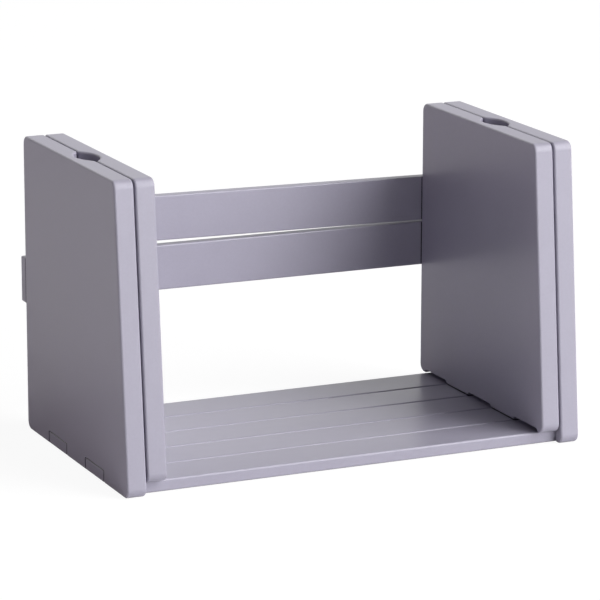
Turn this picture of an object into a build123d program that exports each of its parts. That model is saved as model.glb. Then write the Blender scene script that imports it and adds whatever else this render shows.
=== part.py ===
"""An extending desktop book rack: two interleaved halves that slide apart sideways.

The left half is the left outer panel, the right inner panel, slats 2 and 4 and the lower rail.
The right half is the right outer panel, the left inner panel, slats 1, 3 and 5 and the upper rail.
Each inner panel stands on its own half's slats and rides over those of the other half.
X runs along the row of books, Y from front to back and Z up from the desk. All sizes are in mm.
"""

import os

from build123d import *

os.makedirs("parts", exist_ok=True)

# Side panels
panel_height = 227.0
panel_bottom_depth = 208.0
panel_top_depth = 187.0
panel_thickness = 15.0
top_corner_radius = 6.5
bottom_corner_radius = 6.5
panel_edge_radius = 1.6

# Space between the panels when the rack is closed
bay_width = 302.0
pair_gap = 1.0

# Slats
slat_count = 5
slat_thickness = 9.0
slat_lift = 0.5
slat_gap = 1.0
slat_back_margin = 9.5
slat_front_margin = 9.5
slat_edge_radius = 1.5
slat_end_radius = 0.8

# Notches that let the slat ends into the outer panels
let_in_side_clearance = 1.0
let_in_top_clearance = 0.4

# Notches that carry the inner panels over the other half's slats
riding_clearance = 3.0
riding_corner_radius = 2.8

# Back rails: on the photographed rack both fall a little towards their right ends
rail_thickness = 9.0
rail_height = 35.0
rail_edge_radius = 1.0
lower_rail_bottom = 97.6
lower_rail_fall = 1.3
rail_gap = 4.9
upper_rail_fall = 5.4
rail_relief_depth = 0.5
rail_relief_clearance = 1.2

# Finger holes, one between each outer panel and the inner panel beside it
finger_hole_length = 37.0
finger_hole_reach = 8.0
finger_hole_depth = 30.0
finger_lip_radius = 5.0

# Countersunk wood screws and their holes
screw_diameter = 3.5
screw_head_diameter = 7.0
screw_length = 30.0
screw_tip_length = 4.0
screw_hole_clearance = 0.05
screw_sink = 0.3
slat_screw_edge_distance = 10.0
rail_screw_edge_distance = 9.0

# How far the cuts run past the material
overrun = 2.0

# Places along X
closed_width = bay_width + 4 * panel_thickness + 2 * pair_gap
left_outer_x = -closed_width / 2
left_inner_x = left_outer_x + panel_thickness + pair_gap
right_outer_x = closed_width / 2 - panel_thickness
right_inner_x = right_outer_x - pair_gap - panel_thickness
half_length = closed_width - panel_thickness - pair_gap

# Places along Y: the rails stand behind the panels' back edges
total_depth = panel_bottom_depth + rail_thickness
panel_back_y = total_depth / 2 - rail_thickness
rail_back_y = total_depth / 2
panel_bottom_front_y = panel_back_y - panel_bottom_depth
panel_top_front_y = panel_back_y - panel_top_depth
finger_y = (panel_back_y + panel_top_front_y) / 2

# Places along Z
slat_top = slat_lift + slat_thickness
riding_top = slat_top + riding_clearance
finger_floor = panel_height - finger_hole_depth
lower_rail_top = lower_rail_bottom + rail_height
upper_rail_bottom = lower_rail_top + rail_gap

# The slats fill the depth between their two margins
slats_depth = panel_bottom_depth - slat_back_margin - slat_front_margin
slat_width = (slats_depth - (slat_count - 1) * slat_gap) / slat_count
slat_pitch = slat_width + slat_gap
left_half_slats = range(2, slat_count + 1, 2)
right_half_slats = range(1, slat_count + 1, 2)

# Screw sizes
screw_radius = screw_diameter / 2
screw_head_radius = screw_head_diameter / 2
screw_hole_radius = screw_radius + screw_hole_clearance


def slat_y(number):
    """The middle of a slat, counted from the back."""
    return panel_back_y - slat_back_margin - slat_width / 2 - (number - 1) * slat_pitch


def panel_front_y(height):
    """The front edge of a side panel at a height, before its corners are rounded."""
    return panel_bottom_front_y + (panel_top_front_y - panel_bottom_front_y) * height / panel_height


def rail_drop(x, left_x, fall):
    """How far a rail that starts at left_x has fallen at x."""
    return fall * (x - left_x) / half_length


def panel_middle(left_x):
    """The middle of a panel's thickness."""
    return left_x + panel_thickness / 2


def slat_screw_places(left_x, slats):
    """Screws that come up through the slats into the bottom edge of the panel at left_x."""
    reach = slat_width / 2 - slat_screw_edge_distance
    sides = (-reach, reach)
    seat = slat_lift + screw_sink
    return [Location((panel_middle(left_x), slat_y(n) + s, seat)) for n in slats for s in sides]


def rail_screw_places(left_x, rail_left_x, rail_bottom, fall):
    """Screws that go forward through a rail into the back edge of the panel at left_x."""
    x = panel_middle(left_x)
    low = rail_bottom - rail_drop(x, rail_left_x, fall) + rail_screw_edge_distance
    high = low + rail_height - 2 * rail_screw_edge_distance
    seat = rail_back_y - screw_sink
    return [Location((x, seat, z), (90, 0, 0)) for z in (low, high)]


def bottom_notches(left_x, low_z, top_z, width, slats, corner_radius):
    """The space of the notches over the named slats, through a panel's whole thickness."""
    with BuildPart() as space:
        with BuildSketch(Plane.YZ.offset(left_x - overrun)):
            for number in slats:
                with Locations((slat_y(number), (low_z + top_z) / 2)):
                    Rectangle(width, top_z - low_z)
            fillet(vertices().group_by(Axis.Y)[-1], corner_radius)
        extrude(amount=panel_thickness + 2 * overrun)
    return space.part


def let_in_notches(left_x, slats):
    """Notches that the slat ends lie in, with a fine joint line around them."""
    width = slat_width + 2 * let_in_side_clearance
    top = slat_top + let_in_top_clearance
    return bottom_notches(left_x, -overrun, top, width, slats, slat_edge_radius)


def riding_notches(left_x, slats):
    """Notches that run from one carried slat to the next, clear over the slat between."""
    width = slat_width + 2 * slat_gap
    corner_radius = min(riding_corner_radius, riding_clearance)
    return bottom_notches(left_x, slat_top - overrun, riding_top, width, slats, corner_radius)


def rail_relief(left_x, low_z, high_z):
    """The shallow step in an inner panel's back edge that the other half's rail slides past."""
    with BuildPart() as space:
        with BuildSketch(Plane.YZ.offset(left_x - overrun)):
            with Locations((panel_back_y - rail_relief_depth, (low_z + high_z) / 2)):
                Rectangle(
                    rail_relief_depth + overrun,
                    high_z - low_z + 2 * rail_relief_clearance,
                    align=(Align.MIN, Align.CENTER),
                )
        extrude(amount=panel_thickness + 2 * overrun)
    return space.part


def screw_holes(places):
    """The space of the screws, each from its seat to its point."""
    with BuildPart() as space:
        with Locations(*places):
            Cylinder(
                screw_hole_radius,
                screw_length + screw_hole_clearance,
                align=(Align.CENTER, Align.CENTER, Align.MIN),
            )
    return space.part


def countersinks(places):
    """The space of the screw heads, open to the face that they are driven from."""
    rim_radius = screw_head_radius + screw_hole_clearance
    cone_height = rim_radius - screw_hole_radius
    with BuildPart() as space:
        with Locations(*places):
            Cone(
                rim_radius,
                screw_hole_radius,
                cone_height,
                align=(Align.CENTER, Align.CENTER, Align.MIN),
            )
            Cylinder(rim_radius, overrun, align=(Align.CENTER, Align.CENTER, Align.MAX))
    return space.part


def finger_notch(face_x, inward):
    """The half of a finger hole that is cut into one panel's face, from its top edge down."""
    half = finger_hole_length / 2
    outside_x = face_x - inward * overrun
    with BuildPart() as space:
        with BuildSketch(Plane.XY.offset(finger_floor)):
            with BuildLine():
                ThreePointArc(
                    (face_x, finger_y - half),
                    (face_x + inward * finger_hole_reach, finger_y),
                    (face_x, finger_y + half),
                )
                Polyline(
                    (face_x, finger_y + half),
                    (outside_x, finger_y + half),
                    (outside_x, finger_y - half),
                    (face_x, finger_y - half),
                )
            make_face()
        extrude(amount=finger_hole_depth + overrun)
    return space.part


def panel_blank(left_x, bottom_z, face_x, inward):
    """A side panel with its finger notch and rounded edges, before its joints are cut."""
    with BuildPart() as blank:
        with BuildSketch(Plane.YZ.offset(left_x)):
            with BuildLine():
                Polyline(
                    (panel_back_y, bottom_z),
                    (panel_back_y, panel_height),
                    (panel_top_front_y, panel_height),
                    (panel_front_y(bottom_z), bottom_z),
                    close=True,
                )
            make_face()
            fillet(vertices().group_by(Axis.Y)[-1], top_corner_radius)
            fillet(vertices().group_by(Axis.Y)[0], bottom_corner_radius)
        extrude(amount=panel_thickness)
        add(finger_notch(face_x, inward), mode=Mode.SUBTRACT)
        lips = edges().filter_by(Axis.Z).filter_by(
            lambda edge: abs(edge.center().X - face_x) < panel_edge_radius
            and abs(edge.center().Y - finger_y) < finger_hole_length
        )
        fillet(lips, finger_lip_radius)
        top_rim = faces().sort_by(Axis.Z)[-1].edges().filter_by(Axis.X, reverse=True)
        outline = faces().filter_by(Axis.X).edges().filter_by(
            lambda edge: edge.center().Z < finger_floor - panel_edge_radius
            or (
                edge.center().Z < panel_height - panel_edge_radius / 10
                and abs(edge.center().Y - finger_y) > finger_hole_length
            )
        )
        fillet(top_rim + outline, panel_edge_radius)
    return blank.part


def rail(left_x, bottom, fall):
    """A back rail that falls from its left end to its right end, with all its edges eased."""
    right_x = left_x + half_length
    with BuildPart() as board:
        with BuildSketch(Plane.XZ.offset(-panel_back_y)):
            with BuildLine():
                Polyline(
                    (left_x, bottom),
                    (right_x, bottom - fall),
                    (right_x, bottom - fall + rail_height),
                    (left_x, bottom + rail_height),
                    close=True,
                )
            make_face()
        extrude(amount=-rail_thickness)
        fillet(edges(), rail_edge_radius)
    return board.part


# Where the screws go
left_outer_slat_places = slat_screw_places(left_outer_x, left_half_slats)
left_inner_slat_places = slat_screw_places(left_inner_x, right_half_slats)
right_inner_slat_places = slat_screw_places(right_inner_x, left_half_slats)
right_outer_slat_places = slat_screw_places(right_outer_x, right_half_slats)
lower_rail_line = (left_outer_x, lower_rail_bottom, lower_rail_fall)
upper_rail_line = (left_inner_x, upper_rail_bottom, upper_rail_fall)
left_outer_rail_places = rail_screw_places(left_outer_x, *lower_rail_line)
left_inner_rail_places = rail_screw_places(left_inner_x, *upper_rail_line)
right_inner_rail_places = rail_screw_places(right_inner_x, *lower_rail_line)
right_outer_rail_places = rail_screw_places(right_outer_x, *upper_rail_line)

# Left outer panel, on the desk, with slats 2 and 4 let in flush with its outer face
with BuildPart() as left_outer_panel:
    add(panel_blank(left_outer_x, 0, left_outer_x + panel_thickness, -1))
    add(let_in_notches(left_outer_x, left_half_slats), mode=Mode.SUBTRACT)
    add(screw_holes(left_outer_slat_places + left_outer_rail_places), mode=Mode.SUBTRACT)
left_outer_panel.part.label = "left_outer_panel"
export_step(left_outer_panel.part, "parts/left_outer_panel.step")

# Left inner panel, the left end of the right half, riding over slats 2 and 4
lower_rail_lowest = lower_rail_bottom - lower_rail_fall
with BuildPart() as left_inner_panel:
    add(panel_blank(left_inner_x, slat_top, left_inner_x, 1))
    add(riding_notches(left_inner_x, left_half_slats), mode=Mode.SUBTRACT)
    add(rail_relief(left_inner_x, lower_rail_lowest, lower_rail_top), mode=Mode.SUBTRACT)
    add(screw_holes(left_inner_slat_places + left_inner_rail_places), mode=Mode.SUBTRACT)
left_inner_panel.part.label = "left_inner_panel"
export_step(left_inner_panel.part, "parts/left_inner_panel.step")

# Right inner panel, the right end of the left half, riding over slats 1, 3 and 5
upper_rail_lowest = upper_rail_bottom - upper_rail_fall
upper_rail_highest = upper_rail_bottom + rail_height
with BuildPart() as right_inner_panel:
    add(panel_blank(right_inner_x, slat_top, right_inner_x + panel_thickness, -1))
    add(riding_notches(right_inner_x, right_half_slats), mode=Mode.SUBTRACT)
    add(rail_relief(right_inner_x, upper_rail_lowest, upper_rail_highest), mode=Mode.SUBTRACT)
    add(screw_holes(right_inner_slat_places + right_inner_rail_places), mode=Mode.SUBTRACT)
right_inner_panel.part.label = "right_inner_panel"
export_step(right_inner_panel.part, "parts/right_inner_panel.step")

# Right outer panel, on the desk, with slats 1, 3 and 5 let in flush with its outer face
with BuildPart() as right_outer_panel:
    add(panel_blank(right_outer_x, 0, right_outer_x, 1))
    add(let_in_notches(right_outer_x, right_half_slats), mode=Mode.SUBTRACT)
    add(screw_holes(right_outer_slat_places + right_outer_rail_places), mode=Mode.SUBTRACT)
right_outer_panel.part.label = "right_outer_panel"
export_step(right_outer_panel.part, "parts/right_outer_panel.step")

# Slats, each from its outer panel's outer face to the far face of its inner panel
for number in range(1, slat_count + 1):
    if number in left_half_slats:
        panels_x = (left_outer_x, right_inner_x)
    else:
        panels_x = (left_inner_x, right_outer_x)
    places = [place for x in panels_x for place in slat_screw_places(x, [number])]
    with BuildPart() as slat:
        with BuildSketch(Plane.YZ.offset(panels_x[0])):
            with Locations((slat_y(number), slat_lift)):
                Rectangle(slat_width, slat_thickness, align=(Align.CENTER, Align.MIN))
            fillet(vertices(), slat_edge_radius)
        extrude(amount=half_length)
        fillet(faces().filter_by(Axis.X).edges(), slat_end_radius)
        add(screw_holes(places), mode=Mode.SUBTRACT)
        add(countersinks(places), mode=Mode.SUBTRACT)
    slat.part.label = f"slat_{number}"
    export_step(slat.part, f"parts/slat_{number}.step")

# Lower rail, behind the left half's two panels
lower_rail_places = left_outer_rail_places + right_inner_rail_places
with BuildPart() as lower_rail:
    add(rail(*lower_rail_line))
    add(screw_holes(lower_rail_places), mode=Mode.SUBTRACT)
    add(countersinks(lower_rail_places), mode=Mode.SUBTRACT)
lower_rail.part.label = "lower_rail"
export_step(lower_rail.part, "parts/lower_rail.step")

# Upper rail, behind the right half's two panels
upper_rail_places = left_inner_rail_places + right_outer_rail_places
with BuildPart() as upper_rail:
    add(rail(*upper_rail_line))
    add(screw_holes(upper_rail_places), mode=Mode.SUBTRACT)
    add(countersinks(upper_rail_places), mode=Mode.SUBTRACT)
upper_rail.part.label = "upper_rail"
export_step(upper_rail.part, "parts/upper_rail.step")

# One wood screw, point up, with its flat head's face at the origin
head_height = screw_head_radius - screw_radius
with BuildPart() as wood_screw:
    with BuildSketch(Plane.XZ):
        with BuildLine():
            Polyline(
                (0, 0),
                (screw_head_radius, 0),
                (screw_radius, head_height),
                (screw_radius, screw_length - screw_tip_length),
                (0, screw_length),
                close=True,
            )
        make_face()
    revolve(axis=Axis.Z)

# The screws, one group for each panel's slats and one for each rail
screw_groups = {
    "left_outer_slat_screws": left_outer_slat_places,
    "left_inner_slat_screws": left_inner_slat_places,
    "right_inner_slat_screws": right_inner_slat_places,
    "right_outer_slat_screws": right_outer_slat_places,
    "lower_rail_screws": lower_rail_places,
    "upper_rail_screws": upper_rail_places,
}
for group_name, places in screw_groups.items():
    with BuildPart() as screws:
        with Locations(*places):
            add(wood_screw.part)
    screws.part.label = group_name
    export_step(screws.part, f"parts/{group_name}.step")
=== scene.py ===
"""The look of an extending desktop book rack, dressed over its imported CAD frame.

The boards are the CAD nodes with a sprayed lacquer material. The wood screws are built here, with
threads and cross recesses, and stand for the plain CAD screws. Lengths are in metres in the CAD's
frame: X runs along the row of books, Y from front to back and Z up from the desk.
"""

import math

import bmesh
import bpy
from mathutils import Matrix, Vector


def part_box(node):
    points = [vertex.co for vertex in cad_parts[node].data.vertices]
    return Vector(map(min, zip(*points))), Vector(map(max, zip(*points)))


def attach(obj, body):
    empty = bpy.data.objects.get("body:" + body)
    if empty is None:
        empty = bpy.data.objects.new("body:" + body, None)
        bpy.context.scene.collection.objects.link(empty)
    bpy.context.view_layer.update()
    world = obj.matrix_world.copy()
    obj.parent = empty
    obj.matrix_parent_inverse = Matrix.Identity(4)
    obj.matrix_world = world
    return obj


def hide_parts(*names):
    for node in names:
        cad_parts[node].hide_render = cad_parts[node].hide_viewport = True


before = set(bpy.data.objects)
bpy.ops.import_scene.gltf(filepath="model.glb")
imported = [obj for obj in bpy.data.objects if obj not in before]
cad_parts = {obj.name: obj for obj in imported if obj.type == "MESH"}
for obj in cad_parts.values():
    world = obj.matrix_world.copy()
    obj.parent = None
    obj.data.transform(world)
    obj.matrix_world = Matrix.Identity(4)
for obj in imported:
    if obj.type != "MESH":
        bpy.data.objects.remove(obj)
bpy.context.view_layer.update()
scene = bpy.context.scene

# Camera at the photograph's place: angles in radians, lens and sensor in millimetres
camera_place = (-1.021047, -2.261970, 0.712245)
camera_yaw = 0.424244
camera_pitch = 0.240226
camera_roll = 0.002117
camera_lens = 204.045
camera_sensor = 36.0

# Soft boxes: degrees right of the front, degrees above the desk, size, power in watts and colour
daylight = (1.0, 1.0, 1.0)
pink_fill = (1.0, 0.83, 0.92)
soft_boxes = {
    "front": (25.0, 15.0, 4.4, 292.0, daylight),
    "key": (50.0, 35.0, 6.0, 530.0, daylight),
    "high_right": (50.0, 60.0, 3.2, 115.0, daylight),
    "left": (-90.0, 8.0, 2.2, 49.0, pink_fill),
    "back": (180.0, 35.0, 3.2, 60.0, daylight),
}
soft_box_distance = 8.0
soft_box_aim = (0.0, 0.0, 0.10)

# Background: how strongly it lights the rack, and how strongly it is seen and reflected
ambient_strength = 0.02
background_strength = 1.0
white = (1.0, 1.0, 1.0, 1.0)

# Floor: as it lights the rack, its glow in reflections, and as the camera sees it
floor_half_width = 30.0
floor_colour = (0.80, 0.80, 0.80, 1.0)
floor_glow = 0.25
floor_glow_colour = (0.92, 0.84, 0.96, 1.0)
seen_floor_colour = (0.12, 0.12, 0.12, 1.0)
seen_floor_glow = 0.93

# Noises of the materials: the scale, which gives patches of about 1 / scale metres, and the detail
cloud_noise = (16.0, 3.0)
mist_noise = (620.0, 2.0)
fibre_noise = (900.0, 2.0)
peel_noise = (420.0, 1.0)
patch_noise = (600.0, 3.0)
grain_noise = (5000.0, 2.0)

# Scale of the fibres along a board's broad faces, as a share of that through its thickness
fibre_scale_share = 0.06

# Two ends that a value runs between
zero_to_one = (0.0, 1.0)
one_to_zero = (1.0, 0.0)

# Paint colour, and the factors on it at the two ends of each variation
paint_colour = (0.375, 0.357, 0.440)
cloud_span = (0.30, 0.70)
cloud_tones = (0.982, 1.018)
mist_span = (0.25, 0.75)
mist_tones = (0.985, 1.015)
board_tones = (0.99, 1.01)
# Painted highlight: the paint is made lighter on the rounded edges
edge_highlight_tones = (1.0, 1.04)
# Painted shade: deep in the joints and gaps the paint darkens to black
crevice_shade_tones = (1.0, 0.0)
# Painted shade: the rims of the let-in slat ends are darkened
let_in_rim_shade_tones = (1.0, 0.25)

# Paint roughness at the two ends of the clouds, and what the cut edges and the mist add to it
paint_roughnesses = (0.27, 0.33)
cut_edge_roughness = 0.06
mist_roughness = 0.04

# Paint bump: its strength and depth, and the height of the fibres beside that of the orange peel
paint_bump = (0.5, 0.00003)
fibre_height_share = 0.8

# Cut edges, by how directly a surface looks along its board's axis, where 1 is straight along it
cut_edge_facings = (0.35, 0.80)

# Rounded edges, by how directly a surface looks along the direction that a rounding would give it
rounded_edge_facings = (0.90, 0.995)
rounded_edge_radius = 0.0012
rounded_edge_samples = 6

# Painted shade in crevices, by the share of a surface's surroundings within reach that is open
crevice_open_shares = (0.70, 1.0)
crevice_reach = 0.001
crevice_samples = 8

# Rims of the let-in slat ends, darkened as painted shade so their seams show, by how directly they
# look along X, and how deep in the rack they lie
let_in_rim_facings = (0.90, 0.995)
let_in_rim_depths = (0.0015, 0.0009)

# Zinc plating, and its bump's strength and depth
plate_colours = {"A": (0.50, 0.50, 0.48, 1.0), "B": (0.66, 0.66, 0.64, 1.0)}
plate_colour_span = (0.35, 0.65)
plate_roughness_span = (0.30, 0.70)
plate_roughnesses = (0.28, 0.45)
plate_bump = (0.3, 0.00001)
plate_metallic = 0.9

# Boards by the direction in which their broad faces look
board_faces = {
    "X": ("left_outer_panel", "left_inner_panel", "right_inner_panel", "right_outer_panel"),
    "Y": ("lower_rail", "upper_rail"),
    "Z": ("slat_1", "slat_2", "slat_3", "slat_4", "slat_5"),
}

# Wood screws: the CAD node that each group replaces, and the body that it rides on
screw_groups = {
    "left_outer_slat_screws": "left_half",
    "right_inner_slat_screws": "left_half",
    "lower_rail_screws": "left_half",
    "right_outer_slat_screws": "right_half",
    "left_inner_slat_screws": "right_half",
    "upper_rail_screws": "right_half",
}
head_radius = 0.00343
head_rim = 0.00006
neck_radius = 0.00135
neck_length = 0.0075
core_radius = 0.00118
thread_radius = 0.00172
thread_pitch = 0.0015
thread_rows = 6
thread_flank_share = 0.3
tip_length = 0.004
screw_length = 0.030
screw_sides = 16
recess_reach = 0.0022
recess_width = 0.0011
recess_depth = 0.0020
recess_floor_share = 0.45
same_screw_reach = 3 * head_radius

# Angles in degrees: the turn from one screw to the next, and the least that stays a sharp edge
screw_turn_step = 47.0
sharp_angle = 35.0


def add_object(name, data):
    """A new object in the scene."""
    added = bpy.data.objects.new(name, data)
    scene.collection.objects.link(added)
    return added


def new_mesh(name, shape):
    """A mesh of a shape that was built in memory and is freed here."""
    mesh = bpy.data.meshes.new(name)
    shape.to_mesh(mesh)
    shape.free()
    return mesh


def direction(azimuth, elevation):
    """The unit vector that points at these degrees right of the front and above the desk."""
    turn = math.radians(azimuth)
    lift = math.radians(elevation)
    level = math.cos(lift)
    return Vector((math.sin(turn) * level, -math.cos(turn) * level, math.sin(lift)))


def add_camera():
    """The camera at the photograph's viewing angle."""
    forward = Vector(
        (
            math.sin(camera_yaw) * math.cos(camera_pitch),
            math.cos(camera_yaw) * math.cos(camera_pitch),
            -math.sin(camera_pitch),
        )
    )
    level_right = Vector((math.cos(camera_yaw), -math.sin(camera_yaw), 0))
    level_up = level_right.cross(forward)
    right = math.cos(camera_roll) * level_right + math.sin(camera_roll) * level_up
    up = right.cross(forward)
    data = bpy.data.cameras.new("camera")
    data.lens = camera_lens
    data.sensor_width = camera_sensor
    camera = add_object("camera", data)
    turned = Matrix((right, up, -forward)).transposed().to_4x4()
    camera.matrix_world = Matrix.Translation(camera_place) @ turned
    scene.camera = camera


def add_soft_box(name, azimuth, elevation, size, power, colour):
    """A square soft box that looks at the rack."""
    data = bpy.data.lights.new(name, "AREA")
    data.shape = "SQUARE"
    data.size = size
    data.energy = power
    data.color = colour
    light = add_object(name, data)
    away = direction(azimuth, elevation)
    light.location = Vector(soft_box_aim) + away * soft_box_distance
    light.rotation_mode = "QUATERNION"
    light.rotation_quaternion = away.to_track_quat("Z", "Y")


def new_material(name):
    """A material with an empty node tree, its tree and its output node."""
    material = bpy.data.materials.new(name)
    material.use_nodes = True
    tree = material.node_tree
    tree.nodes.clear()
    return material, tree, tree.nodes.new("ShaderNodeOutputMaterial")


def feed(tree, socket, value):
    """Give an input a value, which is another node's output or a plain number or colour."""
    if isinstance(value, bpy.types.NodeSocket):
        tree.links.new(value, socket)
    else:
        socket.default_value = value


def calculate(tree, operation, *values):
    """A math node of one or two values; returns its output."""
    node = tree.nodes.new("ShaderNodeMath")
    node.operation = operation
    for value, socket in zip(values, node.inputs):
        feed(tree, socket, value)
    return node.outputs[0]


def reflected_rays(tree, path):
    """A value of 1 for the rays that metal, gloss or glass send on, from a light path node."""
    glossy = path.outputs["Is Glossy Ray"]
    return calculate(tree, "MAXIMUM", glossy, path.outputs["Is Transmission Ray"])


def glowing_surface(tree, colour, strength, glow_colour):
    """A matt shader with a glow added."""
    plain = tree.nodes.new("ShaderNodeBsdfDiffuse")
    feed(tree, plain.inputs["Color"], colour)
    glow = tree.nodes.new("ShaderNodeEmission")
    feed(tree, glow.inputs["Color"], glow_colour)
    feed(tree, glow.inputs["Strength"], strength)
    both = tree.nodes.new("ShaderNodeAddShader")
    tree.links.new(plain.outputs[0], both.inputs[0])
    tree.links.new(glow.outputs[0], both.inputs[1])
    return both.outputs[0]


def mix_shaders(tree, second_share, first, second):
    """A mix of two shaders by the share of the second."""
    mix = tree.nodes.new("ShaderNodeMixShader")
    tree.links.new(second_share, mix.inputs["Fac"])
    tree.links.new(first, mix.inputs[1])
    tree.links.new(second, mix.inputs[2])
    return mix.outputs[0]


def add_world():
    """A white background, seen and reflected at full strength, that lights the rack faintly."""
    world = bpy.data.worlds.new("studio")
    world.use_nodes = True
    tree = world.node_tree
    tree.nodes.clear()
    path = tree.nodes.new("ShaderNodeLightPath")
    seen = calculate(tree, "MAXIMUM", path.outputs["Is Camera Ray"], reflected_rays(tree, path))
    shaders = []
    for strength in (ambient_strength, background_strength):
        background = tree.nodes.new("ShaderNodeBackground")
        feed(tree, background.inputs["Color"], white)
        feed(tree, background.inputs["Strength"], strength)
        shaders.append(background.outputs[0])
    output = tree.nodes.new("ShaderNodeOutputWorld")
    tree.links.new(mix_shaders(tree, seen, *shaders), output.inputs["Surface"])
    scene.world = world


def add_floor():
    """A pale floor that looks almost white and keeps a faint shadow of the rack."""
    material, tree, output = new_material("floor_white")
    path = tree.nodes.new("ShaderNodeLightPath")
    glow = calculate(tree, "MULTIPLY", reflected_rays(tree, path), floor_glow)
    lit = glowing_surface(tree, floor_colour, glow, floor_glow_colour)
    seen = glowing_surface(tree, seen_floor_colour, seen_floor_glow, white)
    both = mix_shaders(tree, path.outputs["Is Camera Ray"], lit, seen)
    tree.links.new(both, output.inputs["Surface"])
    shape = bmesh.new()
    bmesh.ops.create_grid(shape, x_segments=1, y_segments=1, size=floor_half_width)
    mesh = new_mesh("floor", shape)
    mesh.materials.append(material)
    add_object("floor", mesh)


def noise(tree, place, scale_and_detail, stretch=(1.0, 1.0, 1.0)):
    """Noise that is drawn out along the axes where stretch is below 1."""
    scale, detail = scale_and_detail
    mapping = tree.nodes.new("ShaderNodeMapping")
    feed(tree, mapping.inputs["Scale"], stretch)
    feed(tree, mapping.inputs["Vector"], place)
    node = tree.nodes.new("ShaderNodeTexNoise")
    feed(tree, node.inputs["Scale"], scale)
    feed(tree, node.inputs["Detail"], detail)
    feed(tree, node.inputs["Vector"], mapping.outputs[0])
    return node.outputs["Fac"]


def ranged(tree, value, span, results):
    """A value mapped smoothly from the two ends of its span to two results."""
    node = tree.nodes.new("ShaderNodeMapRange")
    node.interpolation_type = "SMOOTHSTEP"
    feed(tree, node.inputs["Value"], value)
    for name, number in zip(("From Min", "From Max", "To Min", "To Max"), (*span, *results)):
        feed(tree, node.inputs[name], number)
    return node.outputs["Result"]


def size_along(tree, vector, axis):
    """How far a vector reaches along an axis, either way."""
    parts = tree.nodes.new("ShaderNodeSeparateXYZ")
    feed(tree, parts.inputs[0], vector)
    return calculate(tree, "ABSOLUTE", parts.outputs[axis])


def cut_edge_mask(tree, coordinates, face_axis):
    """A value of 1 on the cut edges of a board and 0 on its broad faces."""
    facing = size_along(tree, coordinates.outputs["Normal"], face_axis)
    return ranged(tree, facing, cut_edge_facings, one_to_zero)


def rounded_edge_mask(tree):
    """A value of 1 on rounded corners, which get a painted highlight, and 0 on flat surfaces."""
    bevel = tree.nodes.new("ShaderNodeBevel")
    bevel.samples = rounded_edge_samples
    feed(tree, bevel.inputs["Radius"], rounded_edge_radius)
    geometry = tree.nodes.new("ShaderNodeNewGeometry")
    facing = tree.nodes.new("ShaderNodeVectorMath")
    facing.operation = "DOT_PRODUCT"
    feed(tree, facing.inputs[0], bevel.outputs["Normal"])
    feed(tree, facing.inputs[1], geometry.outputs["Normal"])
    return ranged(tree, facing.outputs["Value"], rounded_edge_facings, one_to_zero)


def crevice_shade_mask(tree):
    """A value of 1 deep in the joints, where painted shade darkens the paint, and 0 on open
    surfaces.
    """
    occlusion = tree.nodes.new("ShaderNodeAmbientOcclusion")
    occlusion.samples = crevice_samples
    feed(tree, occlusion.inputs["Distance"], crevice_reach)
    return ranged(tree, occlusion.outputs["AO"], crevice_open_shares, one_to_zero)


def let_in_rim_mask(tree, coordinates):
    """A value of 1 on the eased rims of the slat ends that lie in the outer panels' notches."""
    facing = size_along(tree, coordinates.outputs["Normal"], "X")
    tilted = ranged(tree, facing, let_in_rim_facings, one_to_zero)
    outer_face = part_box("right_outer_panel")[1].x
    span = [outer_face - depth for depth in let_in_rim_depths]
    reach = size_along(tree, coordinates.outputs["Object"], "X")
    return calculate(tree, "MULTIPLY", tilted, ranged(tree, reach, span, zero_to_one))


def surface(tree, output, colour, roughness, height, bump_settings):
    """A glossy shader with bump, on a material's output; returns the shader's node."""
    strength, depth = bump_settings
    bump = tree.nodes.new("ShaderNodeBump")
    feed(tree, bump.inputs["Strength"], strength)
    feed(tree, bump.inputs["Distance"], depth)
    feed(tree, bump.inputs["Height"], height)
    shader = tree.nodes.new("ShaderNodeBsdfPrincipled")
    feed(tree, shader.inputs["Base Color"], colour)
    feed(tree, shader.inputs["Roughness"], roughness)
    feed(tree, shader.inputs["Normal"], bump.outputs[0])
    tree.links.new(shader.outputs[0], output.inputs["Surface"])
    return shader


def toned_paint(tree, tones):
    """The paint's colour times each of the tones."""
    tone = tones[0]
    for factor in tones[1:]:
        tone = calculate(tree, "MULTIPLY", tone, factor)
    colour = tree.nodes.new("ShaderNodeVectorMath")
    colour.operation = "SCALE"
    feed(tree, colour.inputs[0], paint_colour)
    feed(tree, colour.inputs["Scale"], tone)
    return colour.outputs[0]


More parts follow.
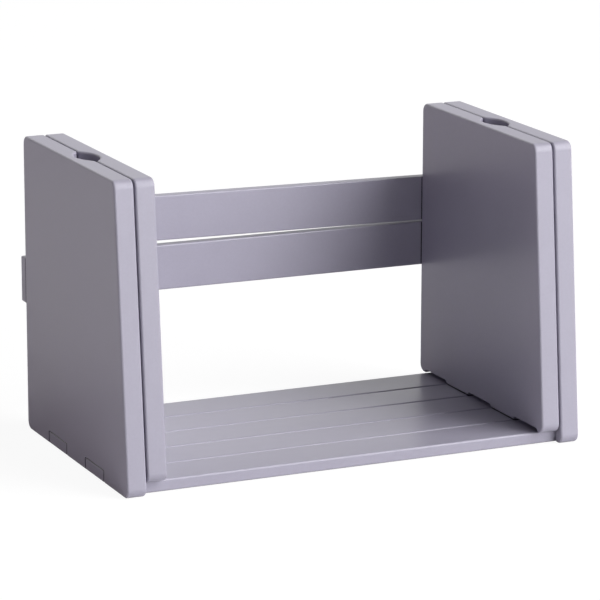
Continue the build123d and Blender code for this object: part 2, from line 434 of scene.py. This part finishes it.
def painted_board(face_axis):
    """Satin lacquer on fibreboard whose broad faces look along one axis."""
    material, tree, output = new_material("painted_board_" + face_axis.lower())
    coordinates = tree.nodes.new("ShaderNodeTexCoord")
    place = coordinates.outputs["Object"]
    board = tree.nodes.new("ShaderNodeObjectInfo")
    cut = cut_edge_mask(tree, coordinates, face_axis)
    clouds = noise(tree, place, cloud_noise)
    mist = noise(tree, place, mist_noise)
    layers = tuple(1.0 if axis == face_axis else fibre_scale_share for axis in "XYZ")
    fibres = noise(tree, place, fibre_noise, layers)
    peel = noise(tree, place, peel_noise)

    tones = [
        ranged(tree, clouds, cloud_span, cloud_tones),
        ranged(tree, mist, mist_span, mist_tones),
        ranged(tree, board.outputs["Random"], zero_to_one, board_tones),
        # painted highlight along the rounded edges
        ranged(tree, rounded_edge_mask(tree), zero_to_one, edge_highlight_tones),
        # painted shade deep in the joints, from an occlusion mask
        ranged(tree, crevice_shade_mask(tree), zero_to_one, crevice_shade_tones),
    ]
    if face_axis == "Z":
        # painted shade on the rims of the slat ends in the outer panels' notches
        rims = let_in_rim_mask(tree, coordinates)
        tones.append(ranged(tree, rims, zero_to_one, let_in_rim_shade_tones))

    roughness = ranged(tree, clouds, cloud_span, paint_roughnesses)
    for amount, added in ((cut, cut_edge_roughness), (mist, mist_roughness)):
        more = calculate(tree, "MULTIPLY", amount, added)
        roughness = calculate(tree, "ADD", roughness, more)

    fibre_height = calculate(tree, "MULTIPLY", fibres, cut)
    fibre_height = calculate(tree, "MULTIPLY", fibre_height, fibre_height_share)
    height = calculate(tree, "ADD", fibre_height, peel)
    surface(tree, output, toned_paint(tree, tones), roughness, height, paint_bump)
    return material


def zinc_plate():
    """Bright zinc plating with the fine grain and dull patches of a stock screw."""
    material, tree, output = new_material("zinc_plate")
    place = tree.nodes.new("ShaderNodeTexCoord").outputs["Object"]
    patches = noise(tree, place, patch_noise)
    colours = tree.nodes.new("ShaderNodeMix")
    colours.data_type = "RGBA"
    feed(tree, colours.inputs["Factor"], ranged(tree, patches, plate_colour_span, zero_to_one))
    for name, colour in plate_colours.items():
        feed(tree, colours.inputs[name], colour)
    roughness = ranged(tree, patches, plate_roughness_span, plate_roughnesses)
    grain = noise(tree, place, grain_noise)
    shader = surface(tree, output, colours.outputs["Result"], roughness, grain, plate_bump)
    feed(tree, shader.inputs["Metallic"], plate_metallic)
    return material


def screw_outline():
    """Rows of the screw from its head to its point: depth, core radius and thread height."""
    head_height = head_radius - neck_radius
    rows = [
        (0.0, head_radius - head_rim, 0.0),
        (head_rim, head_radius, 0.0),
        (2 * head_rim, head_radius - head_rim, 0.0),
        (head_height, neck_radius, 0.0),
        (neck_length, neck_radius, 0.0),
    ]
    step = thread_pitch / thread_rows
    depth = neck_length + step
    while depth < screw_length - step / 2:
        taper = min(1.0, (screw_length - depth) / tip_length)
        fade_in = min(1.0, (depth - neck_length) / thread_pitch)
        rows.append((depth, core_radius * taper, (thread_radius - core_radius) * fade_in * taper))
        depth += step
    return rows


def add_wall(shape, upper, lower):
    """Faces between two rings of as many points each."""
    for side in range(len(upper)):
        beside = (side + 1) % len(upper)
        shape.faces.new((upper[side], upper[beside], lower[beside], lower[side]))


def screw_solid():
    """One wood screw about its axis, point along +Z, head face at the origin, before its recess."""
    shape = bmesh.new()
    rings = []
    for depth, radius, ridge in screw_outline():
        ring = []
        for side in range(screw_sides):
            turn = side / screw_sides
            phase = (depth / thread_pitch - turn) % 1.0
            crest = max(0.0, 1.0 - abs(phase - 1 / 2) / thread_flank_share)
            reach = radius + ridge * crest
            angle = 2 * math.pi * turn
            ring.append(shape.verts.new((reach * math.cos(angle), reach * math.sin(angle), depth)))
        rings.append(ring)
    point = shape.verts.new((0.0, 0.0, screw_length))
    for upper, lower in zip(rings, rings[1:]):
        add_wall(shape, upper, lower)
    for side in range(screw_sides):
        shape.faces.new((rings[-1][side], rings[-1][(side + 1) % screw_sides], point))
    shape.faces.new(list(reversed(rings[0])))
    bmesh.ops.recalc_face_normals(shape, faces=shape.faces)
    return new_mesh("screw", shape)


def recess_blade(turned):
    """One of the two tapered blades that cut the cross recess."""
    shape = bmesh.new()
    rings = []
    for z, share in ((-head_rim, 1.0), (recess_depth, recess_floor_share)):
        ring = []
        for x, y in ((-1, -1), (1, -1), (1, 1), (-1, 1)):
            long_side = x * recess_reach * share
            short_side = y * recess_width / 2 * (1 + share) / 2
            pair = (short_side, long_side) if turned else (long_side, short_side)
            ring.append(shape.verts.new((*pair, z)))
        shape.faces.new(ring)
        rings.append(ring)
    add_wall(shape, *rings)
    bmesh.ops.recalc_face_normals(shape, faces=shape.faces)
    return new_mesh("recess_blade", shape)


def screw_mesh():
    """One wood screw with its cross recess cut."""
    screw = add_object("screw", screw_solid())
    blades = []
    for turned in (False, True):
        blade = add_object("recess_blade", recess_blade(turned))
        cut = screw.modifiers.new("recess", "BOOLEAN")
        cut.operation = "DIFFERENCE"
        cut.solver = "EXACT"
        cut.object = blade
        blades.append(blade)
    evaluated = screw.evaluated_get(bpy.context.evaluated_depsgraph_get())
    mesh = bpy.data.meshes.new_from_object(evaluated)
    for spare in (screw, *blades):
        bpy.data.objects.remove(spare)
    return mesh


def screw_places(node_name):
    """The places of a CAD node's screws: each head's middle, with the way that its point looks."""
    low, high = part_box(node_name)
    points_up = "slat" in node_name
    head_axis, head_level = (2, low.z) if points_up else (1, high.y)
    found = []
    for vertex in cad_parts[node_name].data.vertices:
        spot = Vector(vertex.co)
        spot[head_axis] = head_level
        for group in found:
            if (group[0] - spot).length < same_screw_reach:
                group.append(spot)
                break
        else:
            found.append([spot])
    turn = Matrix.Identity(4) if points_up else Matrix.Rotation(math.pi / 2, 4, "X")
    places = []
    for group in found:
        lowest = Vector(min(spot[axis] for spot in group) for axis in range(3))
        highest = Vector(max(spot[axis] for spot in group) for axis in range(3))
        places.append(Matrix.Translation((lowest + highest) / 2) @ turn)
    return places


def add_screws(node_name, body, single, material):
    """The screws of one CAD node as one piece, each turned its own way about its axis."""
    shape = bmesh.new()
    for number, place in enumerate(screw_places(node_name)):
        turn = math.radians(screw_turn_step * number + len(node_name))
        copy = single.copy()
        copy.transform(place @ Matrix.Rotation(turn, 4, "Z"))
        shape.from_mesh(copy)
        bpy.data.meshes.remove(copy)
    mesh = new_mesh(node_name + "_detailed", shape)
    mesh.materials.append(material)
    mesh.shade_smooth()
    mesh.set_sharp_from_angle(angle=math.radians(sharp_angle))
    screws = add_object(node_name + "_detailed", mesh)
    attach(screws, body)
    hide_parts(node_name)


add_camera()
for box_name, settings in soft_boxes.items():
    add_soft_box(box_name, *settings)
add_world()
add_floor()
scene.view_settings.view_transform = "Standard"

for face_axis, board_names in board_faces.items():
    paint = painted_board(face_axis)
    for board_name in board_names:
        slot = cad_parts[board_name].material_slots[0]
        slot.link = "OBJECT"
        slot.material = paint

single_screw = screw_mesh()
plating = zinc_plate()
for group_name, body_name in screw_groups.items():
    add_screws(group_name, body_name, single_screw, plating)
